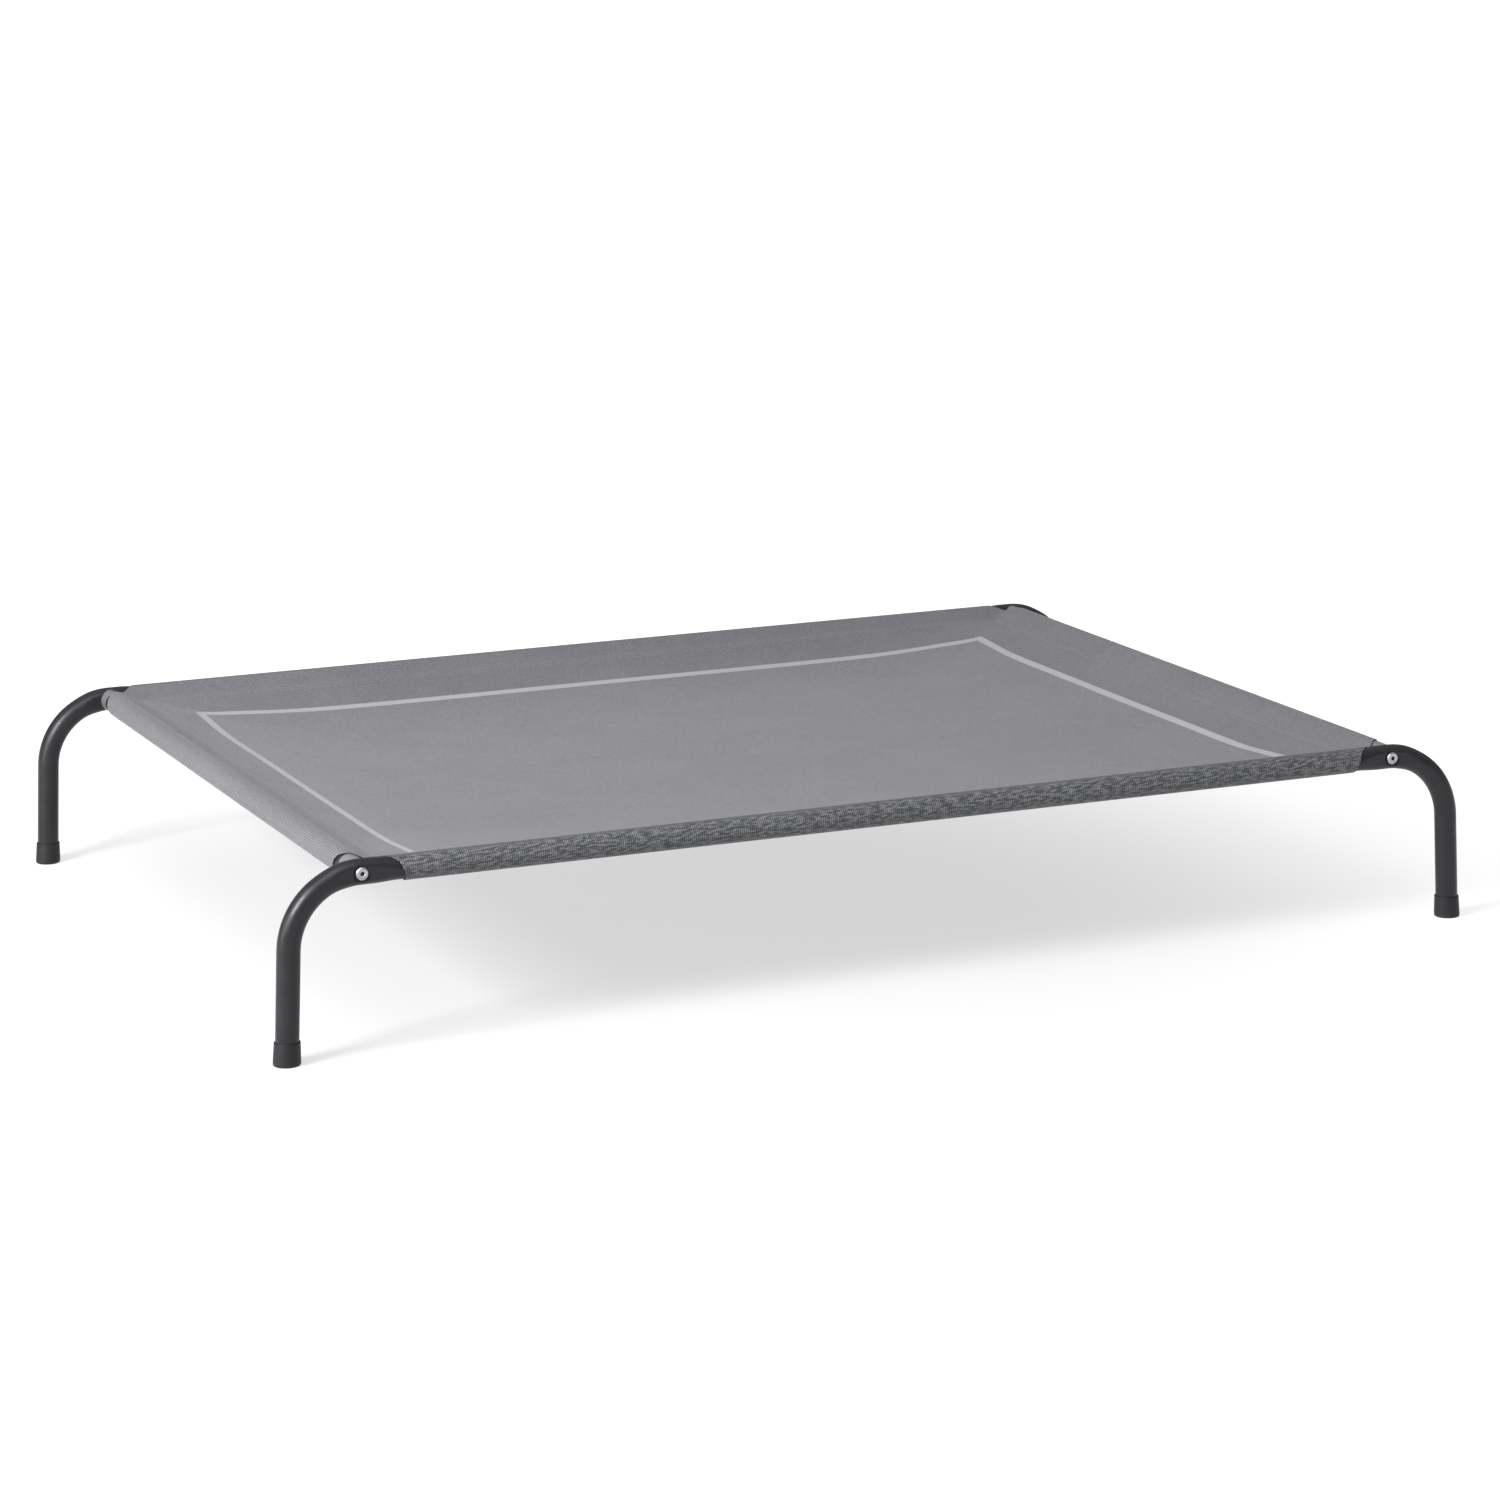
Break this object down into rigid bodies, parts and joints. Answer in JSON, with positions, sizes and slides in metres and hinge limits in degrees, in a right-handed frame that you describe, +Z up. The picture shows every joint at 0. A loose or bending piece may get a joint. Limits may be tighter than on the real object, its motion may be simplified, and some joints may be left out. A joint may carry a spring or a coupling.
{
  "type": "raised dog bed",
  "caption": "Raised cot-style dog bed: a rectangular sling of grey coated mesh held on a low frame of bent dark steel tube with bolted corners and rubber feet.",
  "frame": {"origin": "middle of the footprint, on the floor", "axes": "+X along the bed's length, +Y from the front long side to the back one, +Z up from the floor"},
  "size_m": [1.2976, 0.8918, 0.1912],
  "materials": {
    "tube_coat": "charcoal powder coat, semi-gloss with a fine texture",
    "zinc_steel": "bright zinc plate",
    "saddle_plastic": "moulded mid-grey plastic, matt",
    "foot_rubber": "moulded black rubber, matt",
    "sling_mesh": "grey PVC-coated woven mesh, satin, with a lighter border line"
  },
  "bodies": {
    "root": {"leg_front_left": "tube_coat", "leg_front_right": "tube_coat", "leg_back_left": "tube_coat", "leg_back_right": "tube_coat", "foot_front_left": "foot_rubber", "foot_front_right": "foot_rubber", "foot_back_left": "foot_rubber", "foot_back_right": "foot_rubber", "saddle_front_left": "saddle_plastic", "saddle_front_right": "saddle_plastic", "saddle_back_left": "saddle_plastic", "saddle_back_right": "saddle_plastic", "nut_front_left": "zinc_steel", "nut_front_right": "zinc_steel", "nut_back_left": "zinc_steel", "nut_back_right": "zinc_steel", "bolt_front_left": "zinc_steel", "bolt_front_right": "zinc_steel", "bolt_back_left": "zinc_steel", "bolt_back_right": "zinc_steel", "long_rail_front": "tube_coat", "long_rail_back": "tube_coat", "short_rail_left": "tube_coat", "short_rail_right": "tube_coat", "sling": "sling_mesh"}
  },
  "joints": []
}
